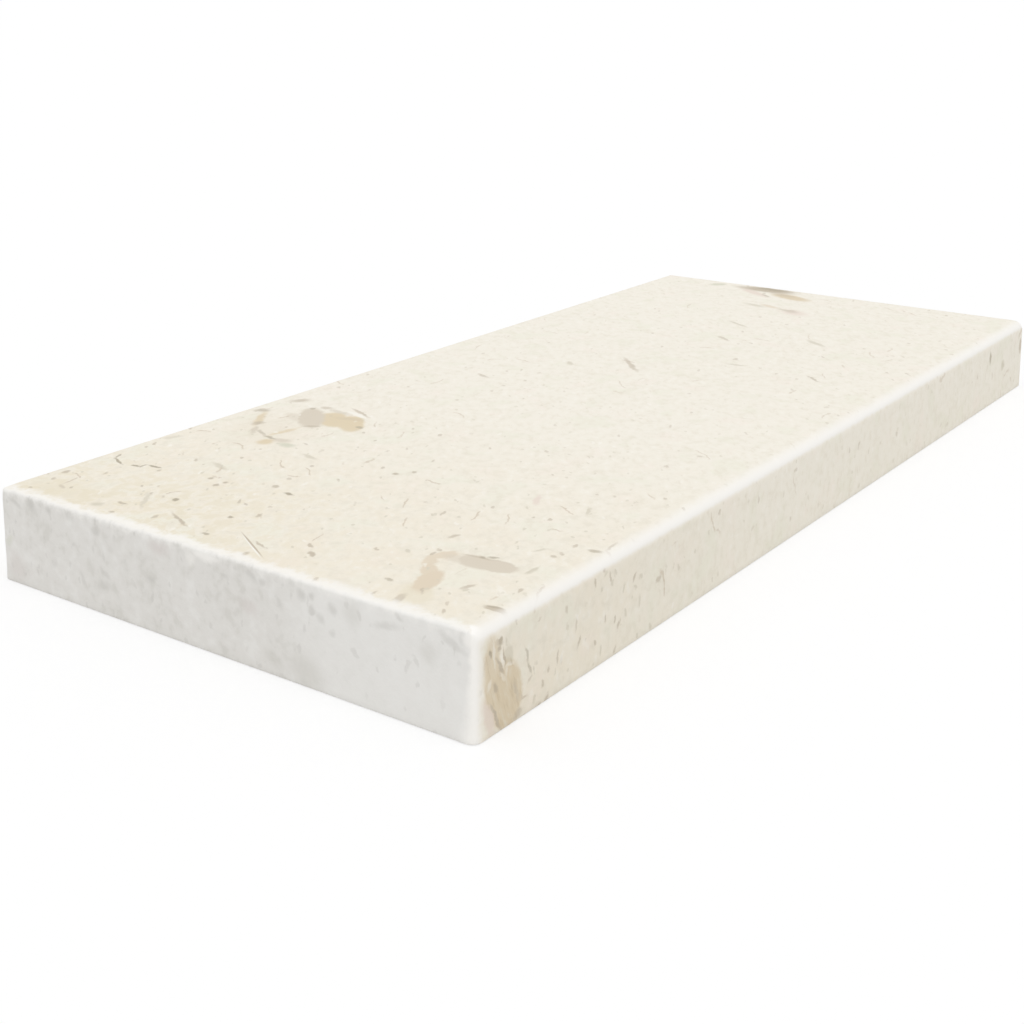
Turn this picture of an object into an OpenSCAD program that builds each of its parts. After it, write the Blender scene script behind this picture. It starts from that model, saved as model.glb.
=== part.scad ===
// Limestone coping stone: one sawn slab, with three of its arrises rubbed round

/* [Slab] */
// Length of the stone, along the wall
slab_length = 685; // [300:1:1200]
// Width of the stone, across the wall
slab_width = 305; // [150:1:600]
// Thickness of the stone
slab_thickness = 50; // [25:1:100]

/* [Rubbed arrises] */
// Radius along the top of the long front face
front_arris_r = 6; // [1:0.5:12]
// Radius along the top of the left end
end_arris_r = 2; // [1:0.5:12]
// Radius of the upright arris between the front face and the left end
corner_arris_r = 5; // [1:0.5:12]

/* [Sawn arrises] */
// Radius of every other edge, which the saw left and a rubbing block only dulled
sawn_arris_r = 0.8; // [0.4:0.1:3]

/* [Hidden] */
$fn = 48;
stone_colour = "#efe9db";

// A rectangle from the origin, w by h, with its corners rounded to radii r,
// which go round from the lower left one
module rounded_section(w, h, r) {
    corners = [
        [r[0], r[0]],
        [w - r[1], r[1]],
        [w - r[2], h - r[2]],
        [r[3], h - r[3]]
    ];
    union() {
        polygon([
            [r[0], 0], [w - r[1], 0],
            [w, r[1]], [w, h - r[2]],
            [w - r[2], h], [r[3], h],
            [0, h - r[3]], [0, r[0]]
        ]);
        for (i = [0:3]) {
            translate(corners[i]) circle(r = r[i]);
        }
    }
}

// The stone seen from above: its four upright edges
module plan_prism() {
    linear_extrude(slab_thickness)
        rounded_section(
            slab_length, slab_width,
            [corner_arris_r, sawn_arris_r, sawn_arris_r, sawn_arris_r]
        );
}

// The stone seen from its end: the four edges along its length, with the
// front face on the left of the section
module cross_prism() {
    rotate([90, 0, 90])
        linear_extrude(slab_length)
            rounded_section(
                slab_width, slab_thickness,
                [sawn_arris_r, sawn_arris_r, sawn_arris_r, front_arris_r]
            );
}

// The stone seen from its front: the four edges across its width
module long_prism() {
    translate([0, slab_width, 0])
        rotate([90, 0, 0])
            linear_extrude(slab_width)
                rounded_section(
                    slab_length, slab_thickness,
                    [sawn_arris_r, sawn_arris_r, sawn_arris_r, end_arris_r]
                );
}

// One solid, with its origin at the middle of its bed face
module coping_stone() {
    color(stone_colour)
        translate([-slab_length / 2, -slab_width / 2, 0])
            intersection() {
                plan_prism();
                cross_prism();
                long_prism();
            }
}

coping_stone();
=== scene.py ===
# A limestone coping stone: sawn slab with rubbed arrises, fine shell flecks and a greyer sawn end
import math

import bmesh
import bpy
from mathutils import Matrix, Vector


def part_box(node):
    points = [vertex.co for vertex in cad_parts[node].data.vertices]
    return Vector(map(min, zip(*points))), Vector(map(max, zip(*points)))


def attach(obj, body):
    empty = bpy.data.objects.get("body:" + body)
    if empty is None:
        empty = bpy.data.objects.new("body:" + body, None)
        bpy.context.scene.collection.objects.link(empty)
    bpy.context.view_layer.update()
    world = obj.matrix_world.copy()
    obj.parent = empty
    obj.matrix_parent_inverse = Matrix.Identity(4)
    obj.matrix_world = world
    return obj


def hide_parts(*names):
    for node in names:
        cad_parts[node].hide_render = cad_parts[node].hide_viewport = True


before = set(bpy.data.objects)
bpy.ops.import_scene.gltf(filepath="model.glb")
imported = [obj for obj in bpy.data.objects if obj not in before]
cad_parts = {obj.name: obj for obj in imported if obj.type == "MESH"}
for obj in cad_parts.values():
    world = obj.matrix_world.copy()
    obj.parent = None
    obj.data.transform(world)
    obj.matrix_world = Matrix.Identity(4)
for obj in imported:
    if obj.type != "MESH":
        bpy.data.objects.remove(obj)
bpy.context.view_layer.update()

low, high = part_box("coping_stone")
size = high - low
print("frame loaded, stone", [round(side, 4) for side in size])


# The camera, placed from the stone's near lower corner

camera = {
    "lens": 54.92,
    "shiftY": -0.25,
    "fromNearCorner": (-0.4701, -0.3563, 0.3153),
    "turn": 35.693,     # degrees from the stone's length towards its back
    "dip": 10.640,      # degrees below level
}


def placeCamera():
    turn = math.radians(camera["turn"])
    dip = math.radians(camera["dip"])
    aim = Vector((math.cos(dip) * math.cos(turn), math.cos(dip) * math.sin(turn), -math.sin(dip)))
    bpy.ops.object.camera_add(location=low + Vector(camera["fromNearCorner"]))
    taker = bpy.context.active_object
    taker.name = "camera"
    taker.rotation_mode = "QUATERNION"
    taker.rotation_quaternion = aim.to_track_quat("-Z", "Y")
    taker.data.lens = camera["lens"]
    taker.data.shift_y = camera["shiftY"]
    taker.data.clip_start = 0.01
    taker.data.clip_end = 100
    bpy.context.scene.camera = taker


# Shader maths: arithmetic on a Signal adds Math nodes

class Signal:
    def __init__(self, shade, socket):
        self.shade = shade
        self.socket = socket

    def __add__(self, other):
        return self.shade.maths("ADD", self, other)

    def __radd__(self, other):
        return self.shade.maths("ADD", other, self)

    def __sub__(self, other):
        return self.shade.maths("SUBTRACT", self, other)

    def __rsub__(self, other):
        return self.shade.maths("SUBTRACT", other, self)

    def __mul__(self, other):
        return self.shade.maths("MULTIPLY", self, other)

    def __rmul__(self, other):
        return self.shade.maths("MULTIPLY", other, self)

    def __truediv__(self, other):
        return self.shade.maths("DIVIDE", self, other)


class Shade:
    def __init__(self, holder):     # a material or a world
        self.holder = holder
        holder.use_nodes = True
        self.tree = holder.node_tree
        self.tree.nodes.clear()

    def node(self, kind, settings, inputs):     # the settings first, then the sockets, by name or number
        made = self.tree.nodes.new(kind)
        for name, value in settings.items():
            setattr(made, name, value)
        for name, value in inputs.items():
            if isinstance(value, Signal):
                value = value.socket
            if isinstance(value, bpy.types.NodeSocket):
                self.tree.links.new(value, made.inputs[name])
            else:
                made.inputs[name].default_value = value
        return made

    def maths(self, operation, a, b=0.0):
        return Signal(self, self.node("ShaderNodeMath", {"operation": operation}, {0: a, 1: b}).outputs[0])

    def most(self, *signals):
        highest = signals[0]
        for other in signals[1:]:
            highest = self.maths("MAXIMUM", highest, other)
        return highest

    def step(self, signal, start, end, top=1.0):     # 0 at start, top at end, smooth between
        made = self.node("ShaderNodeMapRange", {"interpolation_type": "SMOOTHSTEP"}, {
            "Value": signal, "From Min": start, "From Max": end, "To Min": 0.0, "To Max": top})
        return Signal(self, made.outputs["Result"])

    def vector(self, operation, a, b=(0.0, 0.0, 0.0)):
        return self.node("ShaderNodeVectorMath", {"operation": operation}, {0: a, 1: b}).outputs["Vector"]

    def scaled(self, a, factor):
        made = self.node("ShaderNodeVectorMath", {"operation": "SCALE"}, {0: a, "Scale": factor})
        return made.outputs["Vector"]

    def dot(self, a, b):
        made = self.node("ShaderNodeVectorMath", {"operation": "DOT_PRODUCT"}, {0: a, 1: b})
        return Signal(self, made.outputs["Value"])

    def parts(self, a):
        made = self.node("ShaderNodeSeparateXYZ", {}, {"Vector": a})
        return [Signal(self, out) for out in made.outputs]

    def patch(self, a, centre, turned, halves, soft, top):  # a soft-edged ellipsoid: top inside, 0 outside
        inputs = {"Vector": a, "Location": centre, "Rotation": turned}
        inputs["Scale"] = [half * (1 + soft) for half in halves]
        local = self.node("ShaderNodeMapping", {"vector_type": "TEXTURE"}, inputs).outputs["Vector"]
        ball = self.node("ShaderNodeTexGradient", {"gradient_type": "SPHERICAL"}, {"Vector": local})
        return self.step(Signal(self, ball.outputs["Fac"]), 0.0, 2 * soft / (1 + soft), top)

    def noise(self, a, blotch, detail=2.0, rough=0.5):      # blotch is the width in mm
        inputs = {"Vector": a, "Scale": 1.0 / blotch, "Detail": detail, "Roughness": rough}
        return self.node("ShaderNodeTexNoise", {}, inputs).outputs

    def mix(self, factor, a, b):
        return self.node("ShaderNodeMix", {"data_type": "RGBA"}, {0: factor, 6: a, 7: b}).outputs[2]

    def blend(self, factor, a, b):
        return self.node("ShaderNodeMixShader", {}, {0: factor, 1: a, 2: b}).outputs[0]

    def seenDirectly(self):     # 1 for what the camera, a reflection or a clear piece shows
        path = self.node("ShaderNodeLightPath", {}, {}).outputs
        rays = ("Is Camera Ray", "Is Glossy Ray", "Is Transmission Ray")
        return self.most(*[Signal(self, path[ray]) for ray in rays])

    def finish(self, surface, output="ShaderNodeOutputMaterial"):
        self.node(output, {}, {"Surface": surface})
        return self.holder


def tone(red, green, blue):     # a screen colour as the linear one that the shader takes
    channels = []
    for level in (red, green, blue):
        share = level / 255
        channels.append(share / 12.92 if share <= 0.04045 else ((share + 0.055) / 1.055) ** 2.4)
    return (*channels, 1.0)


# Floor, lamp and world

studio = {
    "floorSide": 80.0,
    "floorDrop": 0.0002,        # clear of the bed face
    "floorTone": (233, 232, 230),
    "whiteShare": 0.62,         # of plain white in what the camera sees of the floor
    "worldLevel": 0.78,
    "sunLevel": 0.74,
    "sunWidth": 50.0,           # degrees, for a soft shadow
    "sunFrom": (-0.20, -0.22, 0.93),
}


def makeFloor():
    bpy.ops.mesh.primitive_plane_add(size=studio["floorSide"], location=(0, 0, low.z - studio["floorDrop"]))
    floor = bpy.context.active_object
    floor.name = "floor"
    bpy.ops.object.transform_apply(location=True, rotation=True, scale=True)
    shade = Shade(bpy.data.materials.new("floor_white"))
    matt = shade.node("ShaderNodeBsdfDiffuse", {}, {"Color": tone(*studio["floorTone"])}).outputs[0]
    pale = shade.node("ShaderNodeBsdfDiffuse", {}, {"Color": (1, 1, 1, 1)}).outputs[0]
    white = shade.node("ShaderNodeEmission", {}, {"Color": (1, 1, 1, 1), "Strength": 1.0}).outputs[0]
    seen = shade.blend(studio["whiteShare"], pale, white)
    floor.data.materials.append(shade.finish(shade.blend(shade.seenDirectly(), matt, seen)))


def makeLight():
    world = bpy.data.worlds.new("studio")
    bpy.context.scene.world = world
    shade = Shade(world)
    soft = {"Color": (1, 1, 1, 1), "Strength": studio["worldLevel"]}
    white = {"Color": (1, 1, 1, 1), "Strength": 1.0}
    surface = shade.blend(shade.seenDirectly(), shade.node("ShaderNodeBackground", {}, soft).outputs[0],
                          shade.node("ShaderNodeBackground", {}, white).outputs[0])
    shade.finish(surface, "ShaderNodeOutputWorld")
    bpy.ops.object.light_add(type="SUN", location=(0, 0, 2))
    sun = bpy.context.active_object
    sun.name = "soft_sun"
    sun.data.energy = studio["sunLevel"]
    sun.data.angle = math.radians(studio["sunWidth"])
    sun.rotation_mode = "QUATERNION"
    sun.rotation_quaternion = Vector(studio["sunFrom"]).to_track_quat("Z", "Y")
    bpy.context.scene.view_settings.view_transform = "Standard"


# The dressed stone

stone = {
    "frontArris": 0.006,        # radius along the top of the long front face
    "endArris": 0.002,          # radius along the top of the left end
    "cornerArris": 0.005,       # radius of the upright arris between them
    "sawnArris": 0.0008,        # radius of every other edge
    "roundSteps": 8,
    "sawnSteps": 2,
    "cutsAlong": (15, 16),      # cuts of each pass, for a grid of about 2.5 mm
    "cutsAcross": (9, 13),
    "cutsUp": (21,),
    "wearReach": 0.009,         # how far from a rubbed arris its unevenness goes
    "wearDepth": 0.0006,
    "wearWidth": 0.014,
    "endReach": 0.004,          # how far from the left end its sawn relief goes
    "endDepth": 0.0003,
    "endWidth": 0.008,
    "bedReach": 0.004,          # no unevenness at the bed, and all of it from here up
}


def selectOnly(piece):
    bpy.ops.object.select_all(action="DESELECT")
    piece.select_set(True)
    bpy.context.view_layer.objects.active = piece


def pickEdges(piece, wanted):       # in edit mode: selects the edges that pass the test
    cage = bmesh.from_edit_mesh(piece.data)
    for edge in cage.edges:
        edge.select_set(False)
    picked = [edge for edge in cage.edges if wanted(edge)]
    for edge in picked:
        edge.select_set(True)
    bmesh.update_edit_mesh(piece.data)


def cutAlong(piece, axis, cuts):    # cuts every long edge that runs along one axis
    longest = size[axis]
    for count in cuts:
        def runsAlong(edge):
            reach = edge.verts[1].co - edge.verts[0].co
            return abs(reach[axis]) > 0.6 * longest and abs(reach[axis]) > 0.999 * reach.length
        pickEdges(piece, runsAlong)
        bpy.ops.mesh.subdivide(number_cuts=count)
        longest /= count + 1


def weightBy(piece, name, weigh):
    group = piece.vertex_groups.new(name=name)
    for vertex in piece.data.vertices:
        weight = weigh(vertex.co)
        if weight > 0.004:
            group.add([vertex.index], weight, "REPLACE")
    return group.name


def roughen(piece, name, group, width, depth):     # pushes the skin inwards only
    clouds = bpy.data.textures.new(name, type="CLOUDS")
    clouds.noise_scale = width
    clouds.noise_depth = 2
    push = piece.modifiers.new(name, "DISPLACE")
    push.texture = clouds
    push.texture_coords = "LOCAL"
    push.vertex_group = group
    push.mid_level = 1.0
    push.strength = depth
    bpy.ops.object.modifier_apply(modifier=name)


def makeStone():
    bpy.ops.object.select_all(action="DESELECT")
    bpy.ops.mesh.primitive_cube_add(size=1, location=(low + high) / 2)
    piece = bpy.context.active_object
    piece.name = "dressed_stone"
    piece.scale = size
    bpy.ops.object.transform_apply(location=True, rotation=True, scale=True)

    biggest = max(stone["frontArris"], stone["endArris"], stone["cornerArris"])
    weights = piece.data.attributes.new("bevel_weight_edge", "FLOAT", "EDGE")
    for edge in piece.data.edges:
        middle = sum((piece.data.vertices[i].co for i in edge.vertices), Vector()) / 2
        onFront = middle.y < low.y + 0.001
        onLeft = middle.x < low.x + 0.001
        onTop = middle.z > high.z - 0.001
        radius = 0.0
        if onFront and onTop:
            radius = stone["frontArris"]
        if onLeft and onTop:
            radius = stone["endArris"]
        if onFront and onLeft:
            radius = stone["cornerArris"]
        weights.data[edge.index].value = radius / biggest
    rub = piece.modifiers.new("rub", "BEVEL")
    rub.limit_method = "WEIGHT"
    rub.width = biggest
    rub.segments = stone["roundSteps"]
    bpy.ops.object.modifier_apply(modifier="rub")

    bpy.ops.object.mode_set(mode="EDIT")
    bpy.ops.mesh.select_mode(type="EDGE")
    pickEdges(piece, lambda edge: len(edge.link_faces) == 2 and edge.calc_face_angle() > math.radians(50))
    bpy.ops.mesh.bevel(offset=stone["sawnArris"], segments=stone["sawnSteps"], profile=0.5, affect="EDGES")
    cutAlong(piece, 0, stone["cutsAlong"])
    cutAlong(piece, 1, stone["cutsAcross"])
    cutAlong(piece, 2, stone["cutsUp"])
    bpy.ops.mesh.select_mode(type="FACE")
    cage = bmesh.from_edit_mesh(piece.data)
    for face in cage.faces:
        face.select_set(face.normal.z < -0.999)
    bmesh.update_edit_mesh(piece.data)
    bpy.ops.mesh.dissolve_faces()
    bpy.ops.object.mode_set(mode="OBJECT")
    print("stone cut:", len(piece.data.vertices), "points", len(piece.data.polygons), "faces")

    def nearRubbed(place):
        front = place.y - low.y
        left = place.x - low.x
        top = high.z - place.z
        gap = min(math.hypot(front, top), math.hypot(left, top), math.hypot(front, left))
        lift = min(1.0, (place.z - low.z) / stone["bedReach"])
        return lift * max(0.0, 1 - gap / stone["wearReach"])

    def onLeftEnd(place):
        left = place.x - low.x
        lift = min(1.0, (place.z - low.z) / stone["bedReach"])
        return lift * max(0.0, 1 - left / stone["endReach"])

    selectOnly(piece)
    wear = weightBy(piece, "wear", nearRubbed)
    roughen(piece, "arris_wear", wear, stone["wearWidth"], stone["wearDepth"])
    relief = weightBy(piece, "end", onLeftEnd)
    roughen(piece, "end_relief", relief, stone["endWidth"], stone["endDepth"])
    bpy.ops.object.shade_smooth_by_angle(angle=math.radians(50))
    piece.vertex_groups.clear()
    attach(piece, "root")
    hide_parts("coping_stone")
    return piece


# The stone's finish. Every length in it is in mm, and every place is from the near lower corner:
# along the stone, across it, and up

limestone = {
    "grainTurn": 36,                # degrees from the stone's length to the way its grain is drawn out
    "grainDraw": 1.8,               # times longer than wide
    "stir": 6.5,                    # blotch of the noise that bends every outline
    "markBend": 4.5,
    "grainBend": 4.0,
    "drift": 26.0,                  # blotches of tone, from wide to fine
    "mottle": 6.5,
    "speckle": 3.6,
    "specks": (5.5, 1.5, 0.8),      # cell of the lattice, half length and half width of a grain
    "grit": (9.0, 2.6, 1.0),
    "walls": (15.0, 5.5, 0.65),     # cell of the lattice, reach and thickness of a wall
    "markDepth": 8.0,               # how far a mark goes into the stone
    "streakTurn": 72,               # degrees to the way of the streaks in the patch on the front
    "streakDraw": 5.0,
    "streak": 2.4,
    "skin": 4.0,                    # blotch of the fine relief
    "skinDepth": 0.0003,            # in metres
    "roughness": 0.5,
    "specular": 0.25,
}

tones = {       # as they look on a screen
    "cream": (243, 238, 226),
    "warm": (240, 232, 215),
    "pink": (244, 234, 223),
    "green": (240, 239, 223),
    "shade": (231, 224, 208),
    "straw": (231, 222, 199),
    "tan": (225, 211, 189),
    "clay": (222, 207, 180),
    "ochre": (224, 209, 180),
    "shell": (218, 208, 191),
    "olive": (214, 212, 193),
    "rose": (232, 218, 206),
    "pale": (249, 245, 236),
    "ash": (215, 208, 190),
    "umber": (197, 185, 166),
    "russet": (206, 191, 170),
    "brown": (196, 178, 148),
    "dark": (174, 163, 142),
    # the pale and white of the near arrises: rubbed wear with a painted highlight on it
    "paleWearAndHighlight": (250, 248, 244),
    "whiteWearAndHighlight": (254, 252, 248),
    "grey": (232, 230, 226),
    "greyPale": (241, 240, 237),
    "greyShade": (217, 215, 209),
    "greyDark": (204, 202, 197),
    "greyRose": (222, 215, 211),
    "greyOlive": (219, 219, 207),
}

# Shells, stains and scratches, and a few painted highlight and shadow spots, each a soft ellipse on its
# face: tone, centre, half length and half width, degrees turned, strength, softness. A centre is along and
# across on the top, along and up on the front
# The points were picked on the photo. A camera fit outside this script worked out most places and turns
# from them, and the sizes were mostly changed by hand after it
topMarks = (
    # the bent shell at the near corner
    ("straw", (18.5, 44.5), (12, 7), 45, 0.6, 0.3),
    ("tan", (24, 47), (6, 4), 20, 0.4, 0.6),
    ("tan", (32, 49.5), (12.5, 5.6), 14, 1.0, 0.2),
    ("tan", (41, 56), (9, 4.0), 42, 0.9, 0.25),
    ("tan", (50, 63), (8, 3.2), 25, 0.8, 0.3),
    ("tan", (60, 62), (6.5, 3.6), -32, 0.8, 0.3),
    ("shell", (62.5, 34.5), (10.5, 6.3), -86, 0.95, 0.15),
    ("shell", (61.5, 44.5), (11, 7.0), -92, 0.95, 0.2),
    ("shell", (59.5, 55), (7, 4.2), -95, 0.6, 0.5),
    ("umber", (66.5, 47), (8, 0.9), -83, 0.5, 0.6),
    ("dark", (67, 46), (1.8, 1.3), 90, 0.6, 0.5),
    ("dark", (70, 42), (2.3, 1.3), 100, 0.7, 0.5),
    # a dark mark painted as the shadow at the left end of the tan shell
    ("umber", (10, 47), (4.7, 1.6), 13, 0.6, 0.5),
    ("umber", (24.5, 7.8), (5.4, 2.5), -88, 0.85, 0.25),
    ("dark", (26, 8.8), (4.4, 1.0), -82, 0.5, 0.5),
    ("pale", (42, 17), (6.8, 1.2), 53, 0.5, 0.6),
    ("umber", (37, 31), (3.8, 1.3), -17, 0.7, 0.5),
    ("ash", (33, 30), (1.5, 1.3), 0, 0.8, 0.5),
    ("ash", (68, 19), (4.6, 1.2), -3, 0.9, 0.5),
    ("umber", (81, 73), (2.8, 1.4), -15, 0.7, 0.5),
    ("dark", (23, 64), (2.4, 1.3), 70, 0.6, 0.5),
    ("ash", (54, 79), (2.2, 1.1), 72, 0.8, 0.5),
    ("umber", (8, 60), (2.2, 1.0), 7, 0.6, 0.5),
    ("dark", (104, 9), (3.4, 1.5), -80, 0.6, 0.5),
    ("umber", (113, 6), (5.2, 0.9), 4, 0.6, 0.6),
    ("ash", (90, 30), (3.4, 1.1), -32, 0.7, 0.5),
    ("umber", (87, 21), (1.4, 1.3), 0, 0.7, 0.5),
    ("ash", (146, 40), (5.0, 1.0), 22, 0.8, 0.5),
    ("rose", (145, 70), (7.0, 1.6), 30, 0.8, 0.6),
    # the large shell near the back, and the broken ring beside it
    ("tan", (153, 267), (26, 20), 30, 0.22, 0.8),
    ("shell", (185.5, 261), (20, 8), 42, 1.0, 0.2),
    ("shell", (181, 269), (10, 5.0), -110, 0.5, 0.4),
    ("ochre", (190, 248), (15, 9), 48, 1.0, 0.18),
    ("ochre", (190, 234), (16, 8), 42, 1.0, 0.18),
    ("umber", (197, 240), (9, 2.5), -75, 0.25, 0.8),
    ("umber", (173, 249), (5, 1.5), -50, 0.7, 0.6),
    ("umber", (204, 255), (8, 2.4), -98, 0.4, 0.6),
    ("pale", (206, 243), (9.4, 1.8), -106, 0.8, 0.4),
    ("umber", (210, 244), (10.5, 1.2), -114, 0.7, 0.5),
    ("dark", (187, 225), (3.0, 1.6), -96, 0.6, 0.5),
    ("dark", (200, 274), (1.5, 2.0), -54, 0.6, 0.5),
    ("umber", (206, 268), (2.5, 3.0), 0, 0.6, 0.6),
    ("dark", (180, 296), (4.5, 2.8), -54, 0.6, 0.7),
    ("ochre", (167, 285), (13.5, 2.4), 32, 0.9, 0.6),
    ("umber", (159, 279), (3.6, 2.8), 0, 0.8, 0.7),
    ("umber", (148, 271), (7, 1.8), 33, 0.5, 0.6),
    ("dark", (147, 264), (5.6, 1.2), 65, 0.5, 0.6),
    ("dark", (143, 254), (5.3, 1.2), 80, 0.7, 0.6),
    ("ochre", (136, 250), (4.6, 4.4), 0, 1.0, 0.5),
    ("umber", (143, 244), (5.2, 3.0), -77, 0.5, 0.7),
    ("olive", (138, 236), (5.5, 3.0), -95, 0.9, 0.6),
    ("ochre", (155, 255), (10, 1.9), -10, 0.8, 0.6),
    ("umber", (209, 292), (5.5, 3), -40, 0.7, 0.7),
    ("ash", (130, 211), (6.0, 1.8), 77, 0.8, 0.5),
    ("ash", (90, 239), (7.5, 2.0), 73, 0.8, 0.5),
    ("ash", (111, 299), (5, 2.4), -28, 0.6, 0.6),
    # hairs, hooks and specks at the left
    ("straw", (16, 280), (20, 11), -85, 0.6, 0.8),
    ("umber", (19, 281), (3.5, 1.2), 59, 0.5, 0.6),
    ("ash", (12, 245), (3.2, 2.6), -75, 0.9, 0.6),
    ("dark", (70, 297), (3.6, 0.9), 27, 0.7, 0.4),
    ("dark", (64, 290), (6.3, 1.0), 66, 0.9, 0.4),
    ("dark", (64, 276), (2.6, 1.2), -88, 0.9, 0.4),
    ("dark", (66, 273), (2.8, 0.9), 5, 0.7, 0.4),
    ("dark", (69, 267), (4.4, 1.0), -88, 0.9, 0.4),
    ("dark", (40, 218), (1.6, 1.8), 0, 0.9, 0.5),
    ("umber", (73, 228), (1.5, 1.4), 0, 0.9, 0.5),
    ("umber", (67, 218), (1.8, 1.5), 0, 0.9, 0.5),
    ("umber", (73, 217), (1.8, 1.4), 0, 0.9, 0.5),
    ("umber", (21, 236), (2.8, 1.0), -90, 0.9, 0.5),
    ("umber", (9, 230), (1.4, 1.4), 0, 0.8, 0.5),
    ("ash", (30, 230), (11.3, 1.3), 40, 0.7, 0.5),
    ("umber", (21, 195), (9.6, 1.1), 65, 0.9, 0.5),
    ("umber", (17, 208), (2.6, 1.1), 5, 0.7, 0.5),
    ("dark", (15, 171), (2.2, 1.2), -78, 0.7, 0.5),
    ("umber", (18, 143), (15.7, 0.5), 61, 1.0, 0.4),
    ("pale", (16.4, 141.6), (14.7, 0.5), 60, 1.0, 0.4),
    ("umber", (20, 140), (4.4, 0.9), 63, 0.8, 0.5),
    ("umber", (8, 137), (2.4, 1.6), 0, 0.7, 0.5),
    ("umber", (33, 120), (3.0, 1.1), 57, 0.8, 0.5),
    ("umber", (25, 112), (3.5, 1.2), 55, 0.9, 0.5),
    ("umber", (36, 298), (2.2, 1.8), 0, 0.8, 0.5),
    ("dark", (38, 177), (1.4, 1.5), 0, 0.8, 0.5),
    ("dark", (79, 178), (3.0, 1.3), -92, 0.9, 0.5),
    ("umber", (83, 191), (2.0, 1.8), 0, 0.8, 0.5),
    ("umber", (135, 154), (1.8, 1.9), 0, 0.9, 0.5),
    ("umber", (143, 148), (1.9, 1.5), 0, 0.8, 0.5),
    # the shell at the far edge and the streaks before it
    ("rose", (662, 214), (18, 4), -123, 0.9, 0.6),
    ("clay", (661, 180), (18, 7), -107, 1.0, 0.4),
    ("umber", (655, 199), (6, 1.6), -120, 0.6, 0.6),
    ("umber", (675, 209), (23, 7), -92, 1.0, 0.5),
    ("dark", (680, 203), (16, 4), -91, 0.8, 0.6),
    ("umber", (665, 189), (10, 3.5), -105, 0.45, 0.8),
    ("ash", (618, 190), (9, 3), -105, 0.7, 0.6),
    ("tan", (621, 178), (8, 3), -110, 0.7, 0.6),
    ("rose", (611, 153), (11, 7), -112, 0.7, 0.7),
    ("umber", (614, 157), (6, 4), -115, 0.5, 0.7),
    ("ash", (616, 165), (5, 2.2), -110, 0.8, 0.6),
    ("olive", (673, 252), (7, 4.6), -40, 0.8, 0.4),
    ("umber", (403, 173), (17, 1.7), 44, 0.7, 0.5),
    ("ash", (552, 170), (11, 1.5), 62, 0.8, 0.6),
    ("umber", (505, 157), (6.9, 1.6), 59, 0.6, 0.5),
    ("ash", (530, 97), (10.5, 2.0), 57, 0.8, 0.6),
    ("umber", (440, 57), (7.8, 1.1), 54, 0.7, 0.5),
    ("ash", (443, 115), (6.7, 1.4), -83, 0.7, 0.5),
    ("umber", (457, 122), (2.4, 1.8), 0, 0.6, 0.5),
    ("ash", (382, 208), (5, 2.0), 44, 0.8, 0.5),
    ("umber", (322, 236), (5.5, 1.6), 66, 0.6, 0.5),
)

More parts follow.
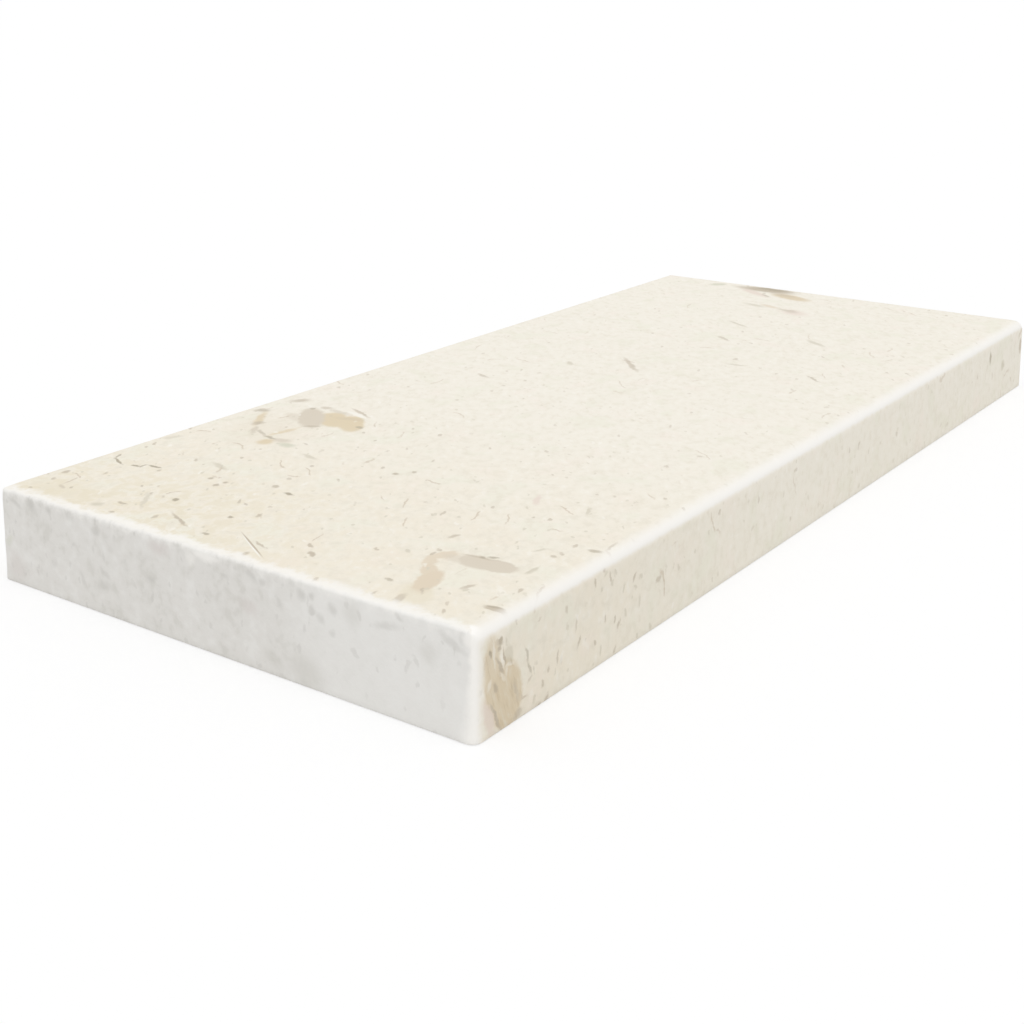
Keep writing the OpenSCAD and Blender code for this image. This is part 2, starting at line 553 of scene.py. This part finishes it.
frontMarks = (
    # the streaked patch at the corner
    ("clay", (22, 15), (15.8, 11), -84, 0.95, 0.12),
    ("clay", (12, 31), (12.5, 5.4), -90, 0.8, 0.3),
    ("clay", (14, 16), (15, 5.5), -70, 0.9, 0.25),
    ("rose", (9.5, 9), (8.5, 3.0), -70, 0.8, 0.4),
    ("ash", (23.5, 32), (4.4, 3.2), -75, 0.6, 0.3),
    ("umber", (14, 8), (7.6, 0.8), -63, 0.9, 0.5),
    ("dark", (11, 37), (1.8, 0.8), -81, 0.9, 0.5),
    ("dark", (18, 40), (2.0, 1.3), -90, 0.7, 0.5),
    ("umber", (17, 37), (1.5, 1.1), -19, 0.8, 0.5),
    ("umber", (17.5, 29), (4.8, 0.9), -61, 0.9, 0.5),
    ("umber", (20.3, 32), (4.0, 0.6), -84, 0.9, 0.5),
    ("umber", (14, 21), (2.8, 1.5), -65, 0.8, 0.5),
    ("umber", (29, 14), (5.0, 1.2), -73, 0.5, 0.6),
    ("umber", (30, 3), (3.0, 1.6), 11, 0.6, 0.6),
    ("pale", (13.3, 36), (6.2, 0.8), -85, 0.55, 0.5),
    ("pale", (19, 31), (4.4, 0.9), -80, 0.6, 0.5),
    ("pale", (24, 27.5), (3.0, 0.9), 1, 0.55, 0.5),
    ("pale", (22, 25), (2.2, 0.8), -90, 0.4, 0.5),
    ("pale", (19, 24), (3.4, 0.9), -49, 0.4, 0.5),
    ("pale", (10, 23), (2.8, 1.0), -109, 0.45, 0.5),
    # the crooked crack beside it, then flecks
    ("dark", (37, 27), (3.8, 0.7), -74, 0.5, 0.5),
    ("dark", (39, 20.5), (3.3, 0.8), -75, 0.5, 0.5),
    ("umber", (39, 15), (1.8, 0.8), 31, 0.43, 0.5),
    ("umber", (63, 15), (1.9, 0.9), -90, 0.6, 0.6),
    ("umber", (60, 17), (3.0, 0.8), -98, 0.58, 0.5),
    ("umber", (53, 14), (1.6, 1.1), -90, 0.58, 0.5),
    ("umber", (77, 18), (2.9, 0.9), 59, 0.65, 0.5),
    ("umber", (75, 27), (3.8, 0.7), -96, 0.43, 0.5),
    ("umber", (90, 41), (2.5, 0.8), -79, 0.65, 0.5),
    ("umber", (103, 40), (2.6, 0.8), -68, 0.58, 0.5),
    ("umber", (124, 33), (2.3, 0.8), 61, 0.65, 0.5),
    ("umber", (67, 37), (2.0, 0.9), -77, 0.5, 0.5),
    ("umber", (107, 18), (2.0, 0.9), -97, 0.65, 0.5),
    ("umber", (99, 21), (1.9, 0.8), -90, 0.58, 0.5),
    ("ash", (95, 7), (2.5, 0.8), -95, 0.65, 0.5),
    ("umber", (107, 3), (2.0, 0.9), 51, 0.5, 0.5),
    ("ash", (129, 19), (2.9, 0.9), -95, 0.58, 0.5),
    ("umber", (681, 32), (5.5, 2.4), -90, 0.7, 0.4),
    ("dark", (615, 36), (4.5, 1.8), -88, 0.7, 0.5),
    ("ash", (643, 24.5), (3.4, 3.2), -60, 0.8, 0.6),
)

# A centre is across and up here
endMarks = (
    # painted highlight spots along the top edge of the end
    ("whiteWearAndHighlight", (156, 47), (8, 2.0), 5, 0.8, 0.7),
    ("whiteWearAndHighlight", (165, 44), (2.5, 3.0), 0, 0.6, 0.8),
    ("greyDark", (295, 44), (4.4, 1.2), 24, 0.48, 0.8),
    ("greyDark", (281, 45), (4.2, 2.4), 37, 0.48, 0.8),
    ("greyDark", (268, 45), (2.0, 1.8), 90, 0.6, 0.8),
    ("greyDark", (252, 46), (2.8, 2.2), 19, 0.48, 0.8),
    ("greyDark", (232, 43), (2.6, 2.2), -12, 0.54, 0.8),
    ("greyRose", (187, 44), (6.0, 3.0), 7, 0.6, 0.8),
    ("greyOlive", (301, 22), (3.6, 1.8), 129, 0.54, 0.8),
    ("greyRose", (296, 9), (7, 6), 28, 0.42, 0.8),
    ("greyDark", (265, 18), (2.2, 2.2), 50, 0.3, 0.8),
    ("greyDark", (193, 27), (3.2, 1.6), -8, 0.42, 0.8),
    ("greyDark", (228, 15), (5.2, 2.6), -16, 0.3, 0.8),
    ("greyDark", (243, 14), (4.2, 1.2), 60, 0.36, 0.8),
    ("greyDark", (227, 22), (4.4, 1.2), 37, 0.36, 0.8),
    ("greyDark", (127, 45), (5.0, 1.6), 34, 0.48, 0.8),
    ("greyDark", (119, 43), (1.6, 1.6), 58, 0.42, 0.8),
    ("greyDark", (109, 36), (2.8, 1.4), 54, 0.36, 0.8),
    ("greyDark", (95, 43), (2.2, 2.2), 33, 0.54, 0.8),
    ("greyDark", (89, 43), (1.6, 1.8), 51, 0.54, 0.8),
    ("greyDark", (89, 37), (2.2, 2.2), 27, 0.48, 0.8),
    ("greyDark", (84, 35), (2.4, 1.8), 32, 0.42, 0.8),
    ("greyDark", (77, 41), (2.6, 2.0), 22, 0.48, 0.8),
    ("greyDark", (77, 30), (1.7, 1.8), 63, 0.36, 0.8),
    ("greyRose", (128, 29), (5.0, 3.4), 19, 0.48, 0.8),
    ("greyShade", (93, 7), (9, 7), 26, 0.54, 0.8),
    ("greyShade", (113, 8), (5.5, 3.0), 21, 0.48, 0.8),
    ("greyDark", (47, 41), (6, 1.6), -12, 0.36, 0.8),
    ("greyDark", (40, 47), (2.4, 1.2), 23, 0.48, 0.8),
    ("greyDark", (12, 43), (7.0, 1.5), 27, 0.42, 0.8),
    ("greyDark", (7, 47), (3.4, 1.4), 85, 0.36, 0.8),
    ("greyShade", (24, 35), (4.2, 4.4), 59, 0.42, 0.8),
    ("greyShade", (66, 42), (5.5, 4.5), 83, 0.42, 0.8),
    ("greyPale", (10, 23), (4.0, 2.2), 17, 0.8, 0.8),
    ("greyPale", (6, 18), (6.0, 3.4), 49, 0.9, 0.8),
    ("greyPale", (5, 6), (5.5, 6.0), 46, 0.9, 0.8),
    ("greyPale", (41, 9), (4.5, 3.2), 50, 0.7, 0.8),
)


# Lays the marks of one face over a colour, those of one tone together; their covers come back with it
def layMarks(shade, where, bent, face, rows, colour):
    covers = {}
    deep = limestone["markDepth"]
    for name, (first, second), (long, short), turned, strength, soft in rows:
        turn = math.radians(turned)
        if face == "top":
            laid = ((first, second, size.z * 1000), (0, 0, turn), (long, short, deep))
        elif face == "front":
            laid = ((first, 0, second), (0, -turn, 0), (long, deep, short))
        else:
            laid = ((0, first, second), (turn, 0, 0), (deep, long, short))
        hairline = long > 20 * short        # a scratch, which stays straight
        mark = shade.patch(where if hairline else bent, *laid, soft, strength)
        covers[name] = shade.most(covers[name], mark) if name in covers else mark
    for name in tones:
        if name in covers:
            colour = shade.mix(covers[name], colour, tone(*tones[name]))
    return colour, covers


# A jittered lattice: the place from the nearest centre, which way that centre faces, and its luck
def scatter(shade, bent, cell, shift):
    moved = shade.vector("ADD", bent, shift)
    lattice = shade.node("ShaderNodeTexVoronoi", {"voronoi_dimensions": "3D", "feature": "F1"}, {
        "Vector": moved, "Scale": 1.0 / cell, "Randomness": 1.0})
    local = shade.vector("SUBTRACT", moved, lattice.outputs["Position"])
    chance = lattice.outputs["Color"]
    facing = shade.vector("NORMALIZE", shade.vector("SUBTRACT", chance, (0.5, 0.5, 0.5)))
    lucky = shade.node("ShaderNodeTexWhiteNoise", {"noise_dimensions": "3D"}, {"Vector": chance})
    return local, facing, Signal(shade, lucky.outputs["Value"])


# Shell grit, cut through by the surface: the cover of the dark grains, and that of the pale ones
def shellGrit(shade, bent, cell, long, short, share, shift):
    local, facing, luck = scatter(shade, bent, cell, shift)
    lengthways = shade.dot(local, facing)
    lengthways = lengthways * lengthways
    sideways = shade.dot(local, local) - lengthways
    gap = shade.maths("SQRT", lengthways / (long * long) + sideways / (short * short))
    shape = shade.step(gap, 1.25, 0.55)
    return shape * shade.step(luck - share, 0.0, -0.25), shape * shade.step(luck, 0.72, 0.9)


# Thin shell walls: one curved sheet about some of the centres
def shellWalls(shade, bent, cell, reach, thick, share, shift):
    local, facing, luck = scatter(shade, bent, cell, shift)
    spread = shade.dot(local, local)
    curl = shade.dot(local, facing) - spread * (0.2 / reach)
    sheet = shade.step(shade.maths("ABSOLUTE", curl), thick, thick * 0.3)
    rim = shade.step(shade.maths("SQRT", spread) / reach + luck, 1.15, 0.8)
    return sheet * rim * shade.step(luck - share, 0.0, -0.25)


def makeLimestone():
    shade = Shade(bpy.data.materials.new("limestone"))
    place = shade.node("ShaderNodeTexCoord", {}, {}).outputs["Object"]
    where = shade.scaled(shade.vector("SUBTRACT", place, tuple(low)), 1000.0)
    along, across, up = shade.parts(where)
    down = size.z * 1000 - up
    drawOut = limestone["grainDraw"]
    drawn = shade.node("ShaderNodeMapping", {"vector_type": "TEXTURE"}, {
        "Vector": where, "Rotation": (0.0, 0.0, math.radians(limestone["grainTurn"])),
        "Scale": (drawOut, 1.0, drawOut)}).outputs["Vector"]
    stir = shade.noise(where, limestone["stir"], 3.0, 0.65)["Color"]
    stir = shade.vector("SUBTRACT", stir, (0.5, 0.5, 0.5))
    ragged = shade.parts(stir)[0]
    bent = shade.vector("ADD", where, shade.scaled(stir, limestone["markBend"]))
    grain = shade.vector("ADD", drawn, shade.scaled(stir, limestone["grainBend"]))

    # soft drift of tone, warmer towards the left end
    drift = Signal(shade, shade.noise(where, limestone["drift"], 3.0, 0.55)["Fac"])
    warmth = shade.step(along, 300.0, 0.0, 0.8) * (0.55 + shade.step(drift, 0.40, 0.62, 0.6))
    colour = shade.mix(warmth, tone(*tones["cream"]), tone(*tones["warm"]))
    colour = shade.mix(shade.step(drift, 0.56, 0.70, 0.35), colour, tone(*tones["pink"]))
    colour = shade.mix(shade.step(drift, 0.46, 0.34, 0.5), colour, tone(*tones["green"]))
    speckle = Signal(shade, shade.noise(drawn, limestone["speckle"], 4.0, 0.62)["Fac"])
    mottle = Signal(shade, shade.noise(where, limestone["mottle"], 3.0, 0.55)["Fac"])
    colour = shade.mix(shade.step(speckle, 0.52, 0.72, 0.5), colour, tone(*tones["pale"]))
    colour = shade.mix(shade.step(speckle, 0.50, 0.28, 0.55), colour, tone(*tones["shade"]))
    leftwards = shade.step(along, 330.0, 40.0)
    mottled = shade.step(mottle, 0.50, 0.30, 0.35) * (0.8 + leftwards * 0.7)
    colour = shade.mix(mottled, colour, tone(*tones["shade"]))
    colour = shade.mix(shade.step(drift, 0.50, 0.36, 0.14), colour, tone(*tones["shade"]))
    farLeft = shade.step(along, 150.0, 0.0) * (0.15 + shade.step(across, 70.0, 210.0, 0.85))
    colour = shade.mix(shade.step(mottle, 0.44, 0.62, 0.7) * farLeft, colour, tone(*tones["straw"]))

    # shell grit and walls, denser and stronger at the left
    crowd = leftwards * 0.27 + shade.step(down, 3.0, 8.0, 0.12) + shade.step(drift, 0.35, 0.65, 0.24)
    specks = shellGrit(shade, grain, *limestone["specks"], 0.26 + crowd, (0.0, 0.0, 0.0))[0]
    grit, chips = shellGrit(shade, grain, *limestone["grit"], 0.28 + crowd, (40.0, 90.0, 10.0))
    walls = shellWalls(shade, grain, *limestone["walls"], 0.20 + crowd, (11.0, 57.0, 23.0))

    def strewn(colour, depth):
        colour = shade.mix(chips * 0.6, colour, tone(*tones["pale"]))
        colour = shade.mix(specks * depth, colour, tone(*tones["ash"]))
        colour = shade.mix(walls * depth, colour, tone(*tones["russet"]))
        return shade.mix(grit * depth, colour, tone(*tones["umber"]))

    # paler along the near arrises, partly rubbed wear and partly a painted highlight: above 0 is in from
    # the edge over the top, below 0 is down the side
    overFront = across - down + ragged * 2.5
    overEnd = along - down + ragged * 13.0
    overCorner = along - across + ragged * 4.0
    wearAndHighlightFront = shade.step(overFront, 9.0, -2.0) * shade.step(overFront, -6.2, -3.0)
    wearAndHighlightFront = wearAndHighlightFront * shade.step(across + down, 13.0, 9.0)
    wearAndHighlightEnd = shade.step(overEnd, 9.0, 3.0, 0.8) * shade.step(overEnd, -4.5, 2.5)
    wearAndHighlightEnd = wearAndHighlightEnd * shade.step(along + down, 15.0, 11.0)
    # the upright corner whitest, a painted highlight over its wear
    wearAndHighlightCorner = shade.step(overCorner, 8.0, 0.0) * shade.step(overCorner, -1.5 - down * 0.17, -0.5)
    wearAndHighlightCorner = wearAndHighlightCorner * shade.step(along + across, 14.0, 9.0)
    paleWearAndHighlight = shade.most(wearAndHighlightFront, wearAndHighlightEnd)

    # fine relief and roughness, both stronger where the stone is as the saw left it
    rightEnd = shade.step(size.x * 1000 - along, 0.7, 0.2)
    sawn = shade.most(shade.step(along, 3.0, 0.6), rightEnd)
    skin = Signal(shade, shade.noise(where, limestone["skin"], 3.0, 0.65)["Fac"])
    bump = shade.node("ShaderNodeBump", {}, {
        "Strength": 0.5, "Distance": limestone["skinDepth"], "Height": skin * (0.8 + sawn * 0.5)})
    roughness = limestone["roughness"] + speckle * 0.16 + sawn * 0.22

    def surfaceOf(colour):
        # the near arrises made paler and whiter: partly wear, partly a painted highlight
        colour = shade.mix(paleWearAndHighlight * 0.95, colour, tone(*tones["paleWearAndHighlight"]))
        colour = shade.mix(wearAndHighlightCorner, colour, tone(*tones["whiteWearAndHighlight"]))
        surface = shade.node("ShaderNodeBsdfPrincipled", {}, {
            "Base Color": colour, "Roughness": roughness, "Specular IOR Level": limestone["specular"],
            "Normal": bump.outputs["Normal"]})
        return surface.outputs["BSDF"]

    # the top, with its shells and stains
    depth = 0.44 + leftwards * 0.24
    topColour = layMarks(shade, where, bent, "top", topMarks, colour)[0]
    top = surfaceOf(strewn(topColour, depth))

    # the front, with its streaked patch
    frontColour, covers = layMarks(shade, where, bent, "front", frontMarks, colour)
    patch = covers["clay"]
    bedding = shade.node("ShaderNodeMapping", {"vector_type": "TEXTURE"}, {
        "Vector": where, "Rotation": (0.0, math.radians(limestone["streakTurn"]), 0.0),
        "Scale": (limestone["streakDraw"], 1.0, 1.0)}).outputs["Vector"]
    streaks = Signal(shade, shade.noise(bedding, limestone["streak"], 3.0, 0.6)["Fac"])
    paleStreaks = shade.step(streaks, 0.50, 0.70, 0.6) * patch
    frontColour = shade.mix(paleStreaks, frontColour, tone(*tones["shade"]))
    darkStreaks = shade.step(streaks, 0.49, 0.30, 0.5) * patch
    frontColour = shade.mix(darkStreaks, frontColour, tone(*tones["brown"]))
    front = surfaceOf(strewn(frontColour, depth * (0.95 - 0.8 * patch)))

    # the ends, greyer and mottled, and paler towards the front
    cloud = drift + mottle
    grey = shade.mix(shade.step(cloud, 1.0, 1.35, 0.6), tone(*tones["grey"]), tone(*tones["greyPale"]))
    grey = shade.mix(shade.step(cloud, 1.0, 0.7, 0.6), grey, tone(*tones["greyShade"]))
    grey = shade.mix(shade.step(across, 118.0, 72.0, 0.75), grey, tone(*tones["greyPale"]))
    grey = shade.mix(shade.most(grit, specks) * 0.3, grey, tone(*tones["greyDark"]))
    end = surfaceOf(layMarks(shade, where, bent, "end", endMarks, grey)[0])

    # each shows on its own face, and they blend at the arrises
    onFront = shade.step(across - down, -1.8, -3.0)
    ends = shade.most(shade.step(along + ragged * 3.0, 3.0, 0.6), rightEnd)
    return shade.finish(shade.blend(ends, shade.blend(onFront, top, front), end))


placeCamera()
makeFloor()
makeLight()
print("camera, floor and light placed")
dressed = makeStone()
print("stone shaped")
dressed.data.materials.append(makeLimestone())
print("limestone finished")
